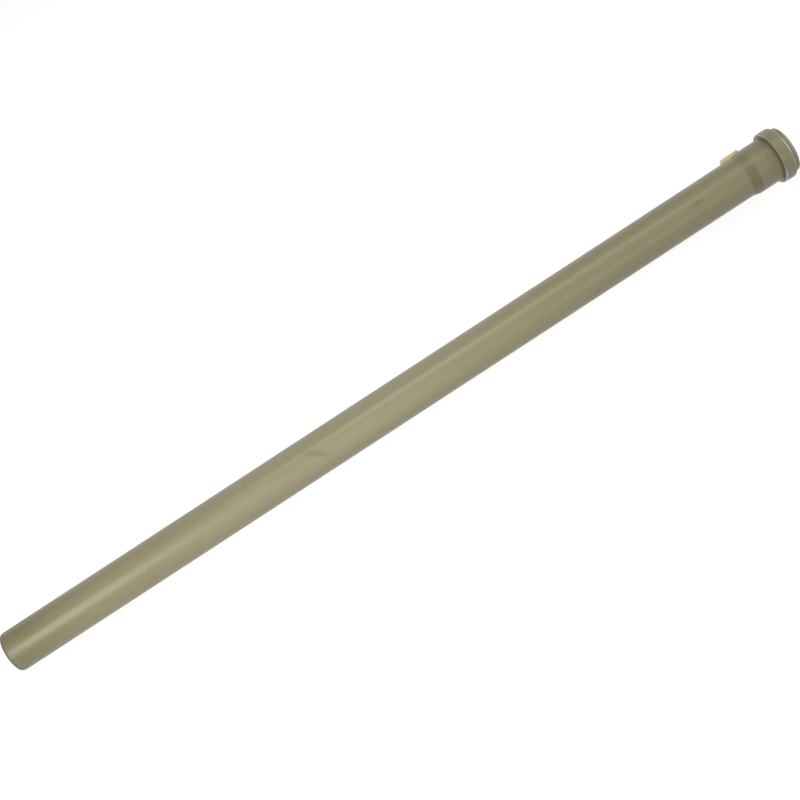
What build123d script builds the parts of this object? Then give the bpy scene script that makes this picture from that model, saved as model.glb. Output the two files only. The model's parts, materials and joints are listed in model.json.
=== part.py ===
from build123d import *
import math
import os

# A push-fit drain pipe in polypropylene, lying on a level floor.
# Lengths are in millimetres. The tube is measured along its axis from the plain end,
# so the pipe is as long as its laying length and the depth that the next pipe goes in.

# Tube
pipe_od = 50.0
wall = 1.8
laying_length = 1000.0
chamfer_length = 3.0
chamfer_angle = 15.0

# Socket, belled from the end of the same tube
insertion_depth = 55.0
socket_play = 0.35
flare_length = 9.5
barrel_length = 28.5
bead_length = 15.0
bead_height = 7.0
bead_corner = 0.5
mouth_length = 6.0
mouth_lead = 0.8
flare_bend = 4.0
root_bend = 0.6
mouth_edge = 0.5

# Rubber ring in the groove inside the bead, its lip drawn as a pushed-in pipe leaves it
ring_clearance = 0.1
ring_play = 0.2
ring_base = 2.4
lip_root = 3.2
lip_reach = 6.5
lip_tip = 1.0
lip_clearance = 0.175

# Paper sticker from the tube to the barrel, folded out along its upper side
label_length = 27.0
label_overlap = 5.5
label_arc = 34.0
label_from_top = 85.0
label_thickness = 0.15
label_lift = 0.95
label_clearance = 0.1
flap_height = 4.4
flap_rise = 0.8
flap_slant = 2.9

# Stations along the axis
pipe_r = pipe_od / 2
bore_r = pipe_r - wall
socket_r = pipe_r + socket_play
groove_r = pipe_r + bead_height - wall
mouth_r = socket_r + mouth_lead
overall = laying_length + insertion_depth
bead_end = overall - mouth_length
bead_start = bead_end - bead_length
groove_start = bead_start + wall
groove_end = bead_end - wall
barrel_start = bead_start - barrel_length
flare_start = barrel_start - flare_length

# Ring and sticker, from the surfaces that they sit on
ring_left = groove_start + ring_play
ring_right = groove_end - ring_play
ring_top = groove_r - ring_clearance
ring_floor = ring_top - ring_base
ring_r = pipe_r + lip_clearance
tip_right = ring_right - lip_reach
label_end = barrel_start + label_overlap
label_start = label_end - label_length
label_r0 = pipe_r + label_lift
label_r1 = socket_r + wall + label_clearance
flap_r = label_r0 + flap_height

# On the floor the pipe touches at its bead and at the shoulder of the chamfer,
# so the axis climbs a little towards the socket.
corner_x = groove_start + bead_corner - chamfer_length
corner_z = groove_r - bead_corner - pipe_r
corner_reach = math.hypot(corner_x, corner_z)
climb = math.asin((bead_corner + wall) / corner_reach) + math.atan2(corner_z, corner_x)
heading = Vector(math.cos(climb), 0, math.sin(climb))
plain_end_z = pipe_r * heading.X - chamfer_length * heading.Z
plain_end = Vector(-overall * heading.X / 2, 0, plain_end_z)
pipe_axis = Axis(plain_end, heading)
half_section = Plane(plain_end, x_dir=heading, z_dir=(0, -1, 0))
label_section = Plane(half_section.location * Rotation(-label_from_top, 0, 0))

os.makedirs("parts", exist_ok=True)

# Pipe: one wall thickness carried along the line of the bore, from the plain end
# through the flare, barrel and bead to the mouth
with BuildPart() as pipe:
    with BuildSketch(half_section) as section:
        with BuildLine() as bore_line:
            Polyline(
                (0, bore_r),
                (flare_start, bore_r),
                (barrel_start, socket_r),
                (groove_start, socket_r),
                (groove_start, groove_r),
                (groove_end, groove_r),
                (groove_end, socket_r),
                (overall, mouth_r),
            )
            fillet(bore_line.vertices().group_by(Axis.Y)[-1], bead_corner)
            roots = bore_line.vertices().filter_by_position(Axis.Y, socket_r, socket_r).sort_by(Axis.X)
            fillet(roots[1:], wall + root_bend)
            flare_ends = bore_line.vertices().sort_by(Axis.X)[1:3]
            fillet(flare_ends, flare_bend)
            offset(amount=wall, side=Side.LEFT)
        make_face()
        end_corner = section.vertices().group_by(Axis.X)[0].sort_by(Axis.Y)[-1]
        outside = section.edges().sort_by(SortBy.LENGTH)[-2:].sort_by(Axis.Y)[-1]
        chamfer(end_corner, chamfer_length, angle=chamfer_angle, reference=outside)
        chamfer(section.vertices().sort_by(Axis.X)[-2:], mouth_edge)
    revolve(axis=pipe_axis)
pipe.part.label = "pipe"
export_step(pipe.part, "parts/pipe.step")

# Sealing ring: a flat band that fills the groove, and a lip that leans in towards the barrel
with BuildPart() as sealing_ring:
    with BuildSketch(half_section) as ring_section:
        with BuildLine():
            Polyline(
                (ring_left, ring_floor),
                (ring_left, ring_top),
                (ring_right, ring_top),
                (ring_right, ring_floor),
                (tip_right, ring_r),
                (tip_right - lip_tip, ring_r),
                (ring_right - lip_root, ring_floor),
                close=True,
            )
        make_face()
        chamfer(ring_section.vertices().group_by(Axis.Y)[-1], bead_corner)
    revolve(axis=pipe_axis)
sealing_ring.part.label = "sealing_ring"
export_step(sealing_ring.part, "parts/sealing_ring.step")

# Label: bridges the flare from the tube to the barrel and bends round the pipe; its flap stands
# straight out from the fold, cut slanting at the left
with BuildPart() as label:
    with BuildSketch(label_section):
        with BuildLine():
            Polyline(
                (label_start, label_r0),
                (barrel_start, label_r1),
                (label_end, label_r1),
                (label_end, label_r1 + label_thickness),
                (barrel_start, label_r1 + label_thickness),
                (label_start, label_r0 + label_thickness),
                close=True,
            )
        make_face()
    revolve(axis=Axis(plain_end, -heading), revolution_arc=label_arc)
    with BuildSketch(label_section):
        with BuildLine():
            Polyline(
                (label_start, label_r0),
                (label_start + flap_slant, flap_r),
                (label_end, flap_r + flap_rise),
                (label_end, label_r1),
                (barrel_start, label_r1),
                close=True,
            )
        make_face()
    extrude(amount=-label_thickness)
label.part.label = "label"
export_step(label.part, "parts/label.step")
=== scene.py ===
import json
import math

import bpy
from mathutils import Matrix, Vector


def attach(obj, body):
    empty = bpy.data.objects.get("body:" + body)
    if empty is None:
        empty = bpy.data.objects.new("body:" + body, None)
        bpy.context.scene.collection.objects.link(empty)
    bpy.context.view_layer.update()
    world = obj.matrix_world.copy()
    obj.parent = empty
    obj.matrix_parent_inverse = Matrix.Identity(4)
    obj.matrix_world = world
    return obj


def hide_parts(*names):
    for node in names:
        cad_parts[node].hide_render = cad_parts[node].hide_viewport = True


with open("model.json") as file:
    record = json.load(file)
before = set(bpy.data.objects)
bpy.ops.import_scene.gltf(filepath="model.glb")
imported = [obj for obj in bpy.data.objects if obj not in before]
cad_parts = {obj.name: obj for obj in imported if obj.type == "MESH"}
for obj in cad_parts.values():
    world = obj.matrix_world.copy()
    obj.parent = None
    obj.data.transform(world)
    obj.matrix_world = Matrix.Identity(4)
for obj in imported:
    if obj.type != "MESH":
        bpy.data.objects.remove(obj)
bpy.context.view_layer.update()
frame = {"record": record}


# Pipe: one extruded tube of grey-beige polypropylene. Its plain end is cut square and chamfered,
# and its other end is softened and belled over a mandrel into a socket, with a bead for the ring.
# Its sizes are in mm, along from the plain end and out from the axis.
mm = 0.001
tube_r = 25.0
wall = 1.8
chamfer_length = 3.0
chamfer_drop = 0.8
chamfer_ease = 1.0
edge_ease = 0.25

overall = 1055.0
flare_start = 996.0
flare_end = 1005.5
groove_start = 1035.8
groove_end = 1047.2
bore_r = tube_r - wall
socket_r = 25.35
groove_r = 30.2
mouth_r = 26.15
flare_bend = 4.0
groove_corner = 0.5
bead_root = 2.4
mouth_ease = 0.5

face_r = tube_r - chamfer_drop
bead_rear = groove_start - wall
bead_front = groove_end + wall
bead_r = groove_r + wall

arc_step = math.radians(11)
longest_step = 25.0
pipe_divisions = 160
moulded_crease = 40

mounts = {mount["name"]: mount for mount in frame["record"]["mounts"]}
waterway = mounts["waterway"]
heading = Vector(mounts["socket"]["axis"])
sideways = Vector((0, 1, 0))
upward = heading.cross(sideways)
plain_end = Vector(waterway["pos_m"]) - heading * (waterway["dims"]["length_mm"] * mm / 2)
pipe_place = Matrix((heading, sideways, upward)).transposed().to_4x4()
pipe_place.translation = plain_end


def rounded(corners, closed=False):
    """A line through corners (along, out, radius), each corner turned on its radius."""
    line = []
    for i, (along, out, radius) in enumerate(corners):
        corner = Vector((along, out))
        if not radius or not closed and i in (0, len(corners) - 1):
            line.append(corner)
            continue
        back = (Vector(corners[i - 1][:2]) - corner).normalized()
        ahead = (Vector(corners[(i + 1) % len(corners)][:2]) - corner).normalized()
        half = back.angle(ahead) / 2
        centre = corner + (back + ahead).normalized() * radius / math.sin(half)
        spoke = corner + back * radius / math.tan(half) - centre
        sweep = math.copysign(math.pi - 2 * half, back.y * ahead.x - back.x * ahead.y)
        steps = max(2, round(abs(sweep) / arc_step))
        for step in range(steps + 1):
            line.append(centre + Matrix.Rotation(sweep * step / steps, 2) @ spoke)
    return line


def set_off(line, distance):
    """The line that runs beside another one at a distance, on its outer side."""
    beside = []
    for i, point in enumerate(line):
        back = (point - line[i - 1]).normalized() if i else None
        ahead = (line[i + 1] - point).normalized() if i + 1 < len(line) else back
        along = ((back or ahead) + ahead).normalized()
        reach = distance / along.dot(ahead)
        beside.append(point + Vector((-along.y, along.x)) * reach)
    return beside


def stepped(outline, longest):
    """The same closed outline with long runs divided into steps."""
    points = []
    for i, point in enumerate(outline):
        run = outline[(i + 1) % len(outline)] - point
        steps = max(1, math.ceil(run.length / longest))
        points += [point + run * step / steps for step in range(steps)]
    return points


def make_piece(name, points, faces, crease):
    """A mesh from points (along, sideways, upward) on the pipe, which it keeps as its finish's grid."""
    mesh = bpy.data.meshes.new(name)
    mesh.from_pydata([pipe_place @ (Vector(point) * mm) for point in points], [], faces)
    grid = mesh.attributes.new("on_pipe", "FLOAT_VECTOR", "POINT")
    grid.data.foreach_set("vector", [number for point in points for number in point])
    mesh.shade_smooth()
    mesh.set_sharp_from_angle(angle=math.radians(crease))
    piece = bpy.data.objects.new(name, mesh)
    bpy.context.scene.collection.objects.link(piece)
    return piece


def turned(name, outline, divisions):
    """A piece turned round the pipe's axis from a closed outline of (along, out) points."""
    points = []
    faces = []
    count = len(outline)
    for i in range(divisions):
        turn = math.tau * i / divisions
        points += [(along, out * math.sin(turn), out * math.cos(turn)) for along, out in outline]
        here = i * count
        there = (i + 1) % divisions * count
        for j in range(count):
            k = (j + 1) % count
            faces.append((here + j, here + k, there + k, there + j))
    return make_piece(name, points, faces, moulded_crease)


bore_line = rounded([
    (0, bore_r, 0),
    (flare_start, bore_r, flare_bend),
    (flare_end, socket_r, flare_bend),
    (groove_start, socket_r, bead_root),
    (groove_start, groove_r, groove_corner),
    (groove_end, groove_r, groove_corner),
    (groove_end, socket_r, bead_root),
    (overall, mouth_r, 0),
])
outer_line = set_off(bore_line, wall)
wall_corners = [(*bore_line[0], edge_ease)]
wall_corners += [(*point, 0) for point in bore_line[1:-1]]
wall_corners += [(*bore_line[-1], mouth_ease), (*outer_line[-1], mouth_ease)]
wall_corners += [(*point, 0) for point in outer_line[-2:0:-1]]
wall_corners += [(chamfer_length, tube_r, chamfer_ease), (0, face_r, edge_ease)]
wall_outline = stepped(rounded(wall_corners, closed=True), longest_step)
pipe = turned("pipe_wall", wall_outline, pipe_divisions)


class Tone:
    """One output of a finish's nodes. Arithmetic on tones adds Math nodes."""

    def __init__(self, tree, socket=None):
        self.tree = tree
        self.socket = socket

    def node(self, kind, settings, sockets, output=0):
        """Any node by its type, with its settings, then its sockets' values or tones."""
        made = self.tree.nodes.new("ShaderNode" + kind)
        for name, value in settings.items():
            setattr(made, name, value)
        for name, value in sockets.items():
            if isinstance(value, Tone):
                self.tree.links.new(value.socket, made.inputs[name])
            else:
                made.inputs[name].default_value = value
        return Tone(self.tree, made.outputs[output] if made.outputs else None)

    def math(self, operation, first, second=0):
        """A Math node on tones or numbers."""
        return self.node("Math", {"operation": operation}, {0: first, 1: second})

    def __add__(self, other):
        return self.math("ADD", self, other)

    def __sub__(self, other):
        return self.math("SUBTRACT", self, other)

    def __rsub__(self, other):
        return self.math("SUBTRACT", other, self)

    def __mul__(self, other):
        return self.math("MULTIPLY", self, other)

    def __pow__(self, other):
        return self.math("POWER", self, other)

    def __abs__(self):
        return self.math("ABSOLUTE", self)

    __radd__ = __add__
    __rmul__ = __mul__

    def rise(self, start, end):
        """0 before start and 1 past end, with a soft step between; end may be the lower one."""
        ends = {"Value": self, "From Min": start, "From Max": end}
        return self.node("MapRange", {"interpolation_type": "SMOOTHSTEP"}, ends)

    def within(self, start, end, soft):
        """1 from start to end, falling to 0 over a soft edge outside."""
        return self.rise(start - soft, start) * self.rise(end + soft, end)

    def plain(self, colour):
        """A colour that is the same all over, into which others are mixed."""
        made = self.node("RGB", {}, {})
        made.socket.default_value = colour
        return made

    def toward(self, amount, colour):
        """This colour, mixed with another by an amount."""
        return self.node("Mix", {"data_type": "RGBA"}, {0: amount, 6: self, 7: colour}, 2)


def new_finish(piece, name):
    """An empty material on a piece, and the tone of its points' places on the pipe."""
    material = bpy.data.materials.new(name)
    material.use_nodes = True
    material.node_tree.nodes.clear()
    piece.data.materials.append(material)
    start = Tone(material.node_tree)
    return start.node("Attribute", {"attribute_name": "on_pipe"}, {}, "Vector")


def flecks(grid, stretch, detail, roughness=0.5):
    """Cloudy noise on a grid whose steps along, sideways and upward are scaled by stretch."""
    place = grid.node("VectorMath", {"operation": "MULTIPLY"}, {0: grid, 1: stretch})
    shape = {"Vector": place, "Scale": 1.0, "Detail": detail, "Roughness": roughness}
    return grid.node("TexNoise", {}, shape, "Fac")


def coat(grid, colour, roughness, height, depth, **constants):
    """The shader of a finish: its colour, its roughness, and a relief that is depth mm deep."""
    relief = grid.node("Bump", {}, {"Height": height, "Distance": depth * mm})
    sockets = {"Base Color": colour, "Roughness": roughness, "Normal": relief, **constants}
    shader = grid.node("BsdfPrincipled", {}, sockets)
    grid.node("OutputMaterial", {}, {"Surface": shader})


grid = new_finish(pipe, "satin_polypropylene")
along, across, above = (grid.node("SeparateXYZ", {}, {"Vector": grid}, axis) for axis in "XYZ")
out = (across * across + above * above) ** 0.5
around = grid.math("ARCTAN2", across, above) * tube_r

# The melt is evenly coloured, with faint clouds in the pigment and lines drawn along it by the die.
grey_beige = (0.352, 0.317, 0.19, 1)
cloud_beige = (0.318, 0.292, 0.176, 1)
die_line_beige = (0.43, 0.4, 0.27, 1)
grain_brown = (0.26, 0.24, 0.14, 1)
clouds = flecks(grid, (0.008, 0.03, 0.03), 3)
grains = flecks(grid, (0.9, 0.9, 0.9), 2)
die_lines = flecks(grid, (0.0012, 0.45, 0.45), 3, 0.65)
colour = grid.plain(grey_beige).toward(clouds.rise(0.3, 0.75) * 0.5, cloud_beige)
colour = colour.toward(die_lines.rise(0.4, 0.75) * 0.16, die_line_beige)
colour = colour.toward(grains.rise(0.5, 0.8) * 0.1, grain_brown)

# Handling has left fine scratches that run nearly lengthwise, and scuffs where the bead and the plain end
# are set down. The lip at the mouth is painted paler: partly wear, partly painted light.
pale_wear_and_light_beige = (0.5, 0.475, 0.36, 1)
scuffed_length = 40.0
drift = grid.node("CombineXYZ", {}, {
    "X": along * 0.016,
    "Y": (around + along * 0.04) * 0.22,
    "Z": out * 0.05,
})
trails = grid.node("TexNoise", {}, {"Vector": drift, "Scale": 1.0, "Detail": 1.0}, "Fac")
patches = flecks(grid, (0.012, 0.05, 0.05), 2)
scratches = (1 - abs(trails - 0.5) * 90).rise(0, 1) * patches.rise(0.52, 0.68)
bead_top = out.rise(bead_r - 0.7, bead_r - 0.1)
end_skin = along.rise(scuffed_length, 0) * out.rise(tube_r - 0.5, tube_r - 0.1)
scuffs = flecks(grid, (0.5, 0.35, 0.35), 4, 0.7).rise(0.52, 0.72) * (bead_top + end_skin)
lip_wear_and_light = along.rise(bead_front + 0.2, bead_front + 2)
wear_and_lip_light = scratches * 0.35 + scuffs * 0.25 + lip_wear_and_light * 0.4
colour = colour.toward(wear_and_lip_light, pale_wear_and_light_beige)

# The flare was stretched while soft. It is painted a shade darker, most in front, as painted shade.
# The barrel just behind the bead is painted dark on its upper side, as the bead's painted shadow.
flare_shade_brown = (0.2, 0.18, 0.105, 1)
root_shadow_brown = (0.09, 0.082, 0.045, 1)
flare = along.within(flare_start - 0.5, flare_end + 0.5, 1.2) * out.rise(tube_r - 1, tube_r - 0.2)
flare_shade = 0.25 + across.rise(12, -24) * 0.42
colour = colour.toward(flare * flare_shade, flare_shade_brown)
behind_bead = along.rise(bead_rear - 5.5, bead_rear + 0.2) * along.rise(bead_rear + 2, bead_rear + 0.8)
upper_side = (above * 0.94 - across * 0.34).rise(1, 11)
root = behind_bead * out.rise(tube_r + 1, tube_r + 2) * upper_side
colour = colour.toward(root ** 1.5 * 0.75, root_shadow_brown)

# The bead's two edges are painted pale, partly rubbing and partly painted highlight: the front one most
# on top, the rear one, a painted reflection, at its sides.
rub_and_highlight_cream = (0.78, 0.76, 0.65, 1)
front_edge = along.within(bead_front - 1.6, bead_front + 0.2, 0.5) * out.rise(bead_r - 2.8, bead_r - 1.8)
front_rub_and_highlight = 0.25 + around.within(-10, -4.5, 8) * 0.45
rear_edge = along.within(bead_rear + 0.3, bead_rear + 1.4, 0.4) * out.rise(bead_r - 1.6, bead_r - 0.8)
rear_rub_and_reflection = 0.25 + (around.rise(8, 24) + around.rise(-22, -34)) * 0.75
colour = colour.toward(front_edge * front_rub_and_highlight + rear_edge * rear_rub_and_reflection, rub_and_highlight_cream)

# Two faded smears are on the upper side.
near_smear = 417.0
near_smear_brown = (0.24, 0.185, 0.1, 1)
far_smear = 929.5
far_smear_grey = (0.24, 0.22, 0.13, 1)
mottle = 0.45 + flecks(grid, (0.11, 0.17, 0.17), 1).rise(0.3, 0.7) * 0.55
slanting = around + (along - near_smear) * 0.65
near_mark = along.within(near_smear - 5, near_smear + 5, 12) * slanting.within(-9.5, -6, 5)
far_mark = along.within(far_smear - 3.5, far_smear + 3.5, 9) * around.within(-7, -6, 3)
colour = colour.toward(mottle * near_mark * 0.5, near_smear_brown)
colour = colour.toward(mottle * far_mark * 0.7, far_smear_grey)

# The plain end is painted darker towards its end, and darker still on its chamfer, as painted shade.
# The cutter has left fine rings on the chamfer.
end_shade_brown = (0.2, 0.18, 0.105, 1)
chamfer_shade_brown = (0.2, 0.18, 0.11, 1)
end_shade_length = 115.0
end_shade = along.rise(end_shade_length, 0) * (0.25 + clouds.rise(0.3, 0.7) * 0.25)
colour = colour.toward(end_shade, end_shade_brown)
cut = along.rise(chamfer_length + 0.1, chamfer_length - 0.3) * out.rise(face_r - 0.3, face_r)
colour = colour.toward(cut * 0.5, chamfer_shade_brown)
cutter_rings = grid.math("SINE", (along + out) * 14) * cut

relief = die_lines * 0.5 + grains * 0.25 - scratches * 0.5 - scuffs * 0.3 + cutter_rings * 0.3
roughness = 0.3 + die_lines * 0.06 + clouds * 0.06 + wear_and_lip_light * 0.3 + cut * 0.15 + root * 0.15
coat(grid, colour, roughness, relief, 0.02, IOR=1.49)
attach(pipe, "root")
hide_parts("pipe")


# Sealing ring: one moulding of soft black rubber, sprung into the groove inside the bead.
# Its band lies against the groove and its lip leans in to wipe the next pipe.
ring_play = 0.2
ring_gap = 0.1
ring_left = groove_start + ring_play
ring_right = groove_end - ring_play
ring_top = groove_r - ring_gap
band_floor = 27.7
lip_tip = 1040.2
lip_reach_r = 24.2
lip_back_r = 27.2
lip_foot = 1043.6
rib_places = (1041.4, 1038.4)
rib_half = 0.6
rib_height = 0.7
rib_ease = 0.3
ring_divisions = 128

ring_corners = [
    (ring_left, band_floor, 0.5),
    (ring_left, ring_top, 0.6),
    (ring_right, ring_top, 0.6),
    (ring_right, lip_back_r, 0.7),
    (lip_tip + 0.5, lip_reach_r, 0.35),
    (lip_tip - 0.7, lip_reach_r + 0.2, 0.35),
    (lip_foot, band_floor, 0.8),
]
for rib in rib_places:
    ring_corners += [
        (rib + rib_half, band_floor, rib_ease),
        (rib, band_floor - rib_height, rib_ease),
        (rib - rib_half, band_floor, rib_ease),
    ]
ring = turned("rubber_ring", rounded(ring_corners, closed=True), ring_divisions)

rubber_black = (0.018, 0.018, 0.019, 1)
bloom_grey = (0.05, 0.05, 0.05, 1)
grid = new_finish(ring, "black_rubber")
bloom = flecks(grid, (0.2, 0.12, 0.12), 4)
colour = grid.plain(rubber_black).toward(bloom.rise(0.45, 0.8) * 0.5, bloom_grey)
coat(grid, colour, 0.45 + bloom * 0.2, flecks(grid, (1.5, 1.5, 1.5), 3), 0.02, IOR=1.5)
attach(ring, "root")
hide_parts("sealing_ring")


# Label: a blank sticker of golden yellow paper, stuck round the back from the tube to the barrel.
# Its upper side has come away and stands folded out from the pipe.
label_left = 984.0
label_right = 1011.0
label_low = math.radians(119)
label_fold = math.radians(85)
label_gap = 0.1
label_thickness = 0.15
flap_r = 30.35
flap_rise = 0.8
flap_slant = 2.9
flap_lift = 0.5
flap_curl = 0.6
curl_turn = 5.0
fold_size = 1.2
label_columns = 36
glued_rows = 10
flap_rows = 14
paper_crease = 50


def outer_radius(along):
    """How far the pipe's outside is from its axis, at a distance along it."""
    for here, there in zip(outer_line, outer_line[1:]):
        if here.x <= along <= there.x:
            return here.y + (there.y - here.y) * (along - here.x) / (there.x - here.x)


def label_point(share, up):
    """A point of the paper: share is 0 to 1 towards the socket, up is 0 to 1 stuck, 1 to 2 folded out."""
    stuck = min(up, 1)
    flap = up - stuck
    left = label_left + flap_slant * flap
    along = left + (label_right - left) * share
    turn = label_low + (label_fold - label_low) * stuck
    outward = Vector((math.sin(turn), math.cos(turn)))
    upright = Vector((-outward.y, outward.x))
    foot = outward * (outer_radius(along) + label_gap)
    bend = foot + upright * fold_size
    curl = flap_lift + flap_curl * math.sin(curl_turn * share)
    edge = outward * (flap_r + flap_rise * share) + upright * curl
    spot = foot.lerp(bend, flap).lerp(bend.lerp(edge, flap), flap)
    return Vector((along, *spot))


shares = [i / label_columns for i in range(label_columns + 1)]
ups = [i / glued_rows for i in range(glued_rows)] + [1 + i / flap_rows for i in range(flap_rows + 1)]
rows = len(ups)
glued_side = [[label_point(share, up) for up in ups] for share in shares]
label_points = []
for i, column in enumerate(glued_side):
    before = glued_side[max(i - 1, 0)]
    after = glued_side[min(i + 1, label_columns)]
    for j, point in enumerate(column):
        slant = column[min(j + 1, rows - 1)] - column[max(j - 1, 0)]
        face = slant.cross(after[j] - before[j]).normalized()
        label_points += [point, point + face * label_thickness]


def paper_point(column, row):
    """The number of a point on the paper's glued side; the next number is on its outer side."""
    return 2 * (column * rows + row)


label_faces = []
for i in range(label_columns):
    for j in range(rows - 1):
        a, b = paper_point(i, j), paper_point(i + 1, j)
        c, d = paper_point(i + 1, j + 1), paper_point(i, j + 1)
        label_faces += [(a, b, c, d), (d + 1, c + 1, b + 1, a + 1)]
rim = [(i, 0) for i in range(label_columns)] + [(label_columns, j) for j in range(rows - 1)]
rim += [(i, rows - 1) for i in range(label_columns, 0, -1)] + [(0, j) for j in range(rows - 1, 0, -1)]
for here, there in zip(rim, rim[1:] + rim[:1]):
    a, b = paper_point(*here), paper_point(*there)
    label_faces.append((b, a, a + 1, b + 1))
label = make_piece("paper_label", label_points, label_faces, paper_crease)

paper_yellow = (0.92, 0.76, 0.34, 1)
fibre_yellow = (0.93, 0.82, 0.5, 1)
stain_yellow = (0.84, 0.62, 0.23, 1)
grid = new_finish(label, "yellow_paper")
fibres = flecks(grid, (1.5, 1.5, 1.5), 5, 0.65)
stains = flecks(grid, (0.12, 0.12, 0.12), 2)
colour = grid.plain(paper_yellow).toward(fibres.rise(0.45, 0.75) * 0.4, fibre_yellow)
colour = colour.toward(stains.rise(0.5, 0.8) * 0.4, stain_yellow)
coat(grid, colour, 0.7 + fibres * 0.15, fibres, 0.04, IOR=1.45)
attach(label, "root")
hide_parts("label")


# Floor: a wide sheet of white studio paper, turned up far away on all sides. It is white to the eye
# and in reflections, and still takes the pipe's soft shadow.
floor_half = 30.0
paper_rise = 11.0
square = ((-1, -1), (1, -1), (1, 1), (-1, 1))
floor_points = [(x * floor_half, y * floor_half, z) for z in (0, paper_rise) for x, y in square]
floor_faces = [(0, 1, 2, 3)] + [(i, i + 4, (i + 1) % 4 + 4, (i + 1) % 4) for i in range(4)]
floor_mesh = bpy.data.meshes.new("studio_floor")
floor_mesh.from_pydata(floor_points, [], floor_faces)
floor = bpy.data.objects.new("studio_floor", floor_mesh)
bpy.context.scene.collection.objects.link(floor)

paper_white = (1, 1, 1, 1)
far_grey = (0.1, 0.1, 0.1, 1)
shadow_grey = (0.35, 0.35, 0.35, 1)
bounce_grey = (0.25, 0.25, 0.25, 1)
paper_glow = 0.84
paper = bpy.data.materials.new("white_studio_paper")
paper.use_nodes = True
paper.node_tree.nodes.clear()
floor_mesh.materials.append(paper)
start = Tone(paper.node_tree)
seen = start.node("LightPath", {}, {}, "Is Camera Ray")
for ray in ("Is Glossy Ray", "Is Transmission Ray"):
    seen = seen.math("MAXIMUM", seen, start.node("LightPath", {}, {}, ray))
spot = start.node("NewGeometry", {}, {}, "Position")
height = spot.node("SeparateXYZ", {}, {"Vector": spot}, "Z")
# The turned-up sides glow less towards the top, a painted falloff of light.
glow_fade = start.plain(paper_white).toward(height.rise(0, paper_rise), far_grey)
white = start.node("Emission", {}, {"Color": glow_fade, "Strength": paper_glow})
shadow = start.node("BsdfDiffuse", {}, {"Color": shadow_grey})
bounce = start.node("BsdfDiffuse", {}, {"Color": bounce_grey})
bright = start.node("AddShader", {}, {0: white, 1: shadow})
paper_look = start.node("MixShader", {}, {0: seen, 1: bounce, 2: bright})
start.node("OutputMaterial", {}, {"Surface": paper_look})


# Light: softboxes hung over and beside the table, a warm strip at the plain end, and a little light
# from all round. They lay long soft streaks along the pipe.
world_light = 0.03
warm_white = (1, 0.96, 0.86)


def softbox(name, place, target, width, height, power):
    """A rectangular softbox at a place, turned to a target."""
    lamp = bpy.data.lights.new(name, "AREA")
    lamp.shape = "RECTANGLE"
    lamp.size = width
    lamp.size_y = height
    lamp.energy = power
    stand = bpy.data.objects.new(name, lamp)
    stand.location = place
    stand.rotation_euler = (Vector(target) - Vector(place)).to_track_quat("-Z", "Y").to_euler()
    bpy.context.scene.collection.objects.link(stand)
    return stand


warm_strip = softbox("left_strip", (-0.94, -0.48, 1.3), (-0.94, 0, 0), 0.24, 0.85, 9.4)
warm_strip.data.color = warm_white
softbox("overhead_box", (-0.05, 0.23, 0.83), (-0.05, 0, 0), 0.5, 0.35, 1.6)
softbox("front_box", (-0.19, -0.55, 0.77), (-0.19, 0, 0), 0.6, 0.8, 2.6)
softbox("front_low_box", (-0.17, -0.7, 0.25), (-0.17, 0, 0), 0.6, 0.4, 0.9)
softbox("back_low_box", (-0.12, 0.68, 0.27), (-0.12, 0, 0), 0.7, 0.4, 0.85)
softbox("back_strip", (0.5, 0.48, 1.32), (0.45, 0, 0), 0.8, 0.15, 2.75)
softbox("right_front_box", (0.6, -1.07, 0.9), (0.5, 0, 0), 0.5, 0.5, 1.55)
softbox("right_box", (1.2, 0.05, 0.3), (0.5, 0, 0.03), 0.4, 0.4, 3.3)

world = bpy.data.worlds.new("studio")
bpy.context.scene.world = world
world.use_nodes = True
surround = world.node_tree.nodes["Background"]
surround.inputs["Color"].default_value = (1, 1, 1, 1)
surround.inputs["Strength"].default_value = world_light


# Camera: above the table and a little to the front, square to the pipe near its middle, and turned
# so that the pipe climbs to the right.
camera_distance = 1.4
camera_height = math.radians(70)
camera_roll = math.radians(33.1)
aim_along = 528.9
film_width = 36
focal_length = 55.0
aim = plain_end + heading * (aim_along * mm)
look = Vector((0, math.cos(camera_height), -math.sin(camera_height)))
look = (look - heading * look.dot(heading)).normalized()
square_up = heading.cross(look)
right = heading * math.cos(camera_roll) - square_up * math.sin(camera_roll)
top = heading * math.sin(camera_roll) + square_up * math.cos(camera_roll)
lens = bpy.data.cameras.new("camera")
lens.sensor_width = film_width
lens.lens = focal_length
camera = bpy.data.objects.new("camera", lens)
camera_turn = Matrix((right, top, -look)).transposed().to_4x4()
camera.matrix_world = Matrix.Translation(aim - look * camera_distance) @ camera_turn
bpy.context.scene.collection.objects.link(camera)
bpy.context.scene.camera = camera
bpy.context.scene.view_settings.view_transform = "Standard"
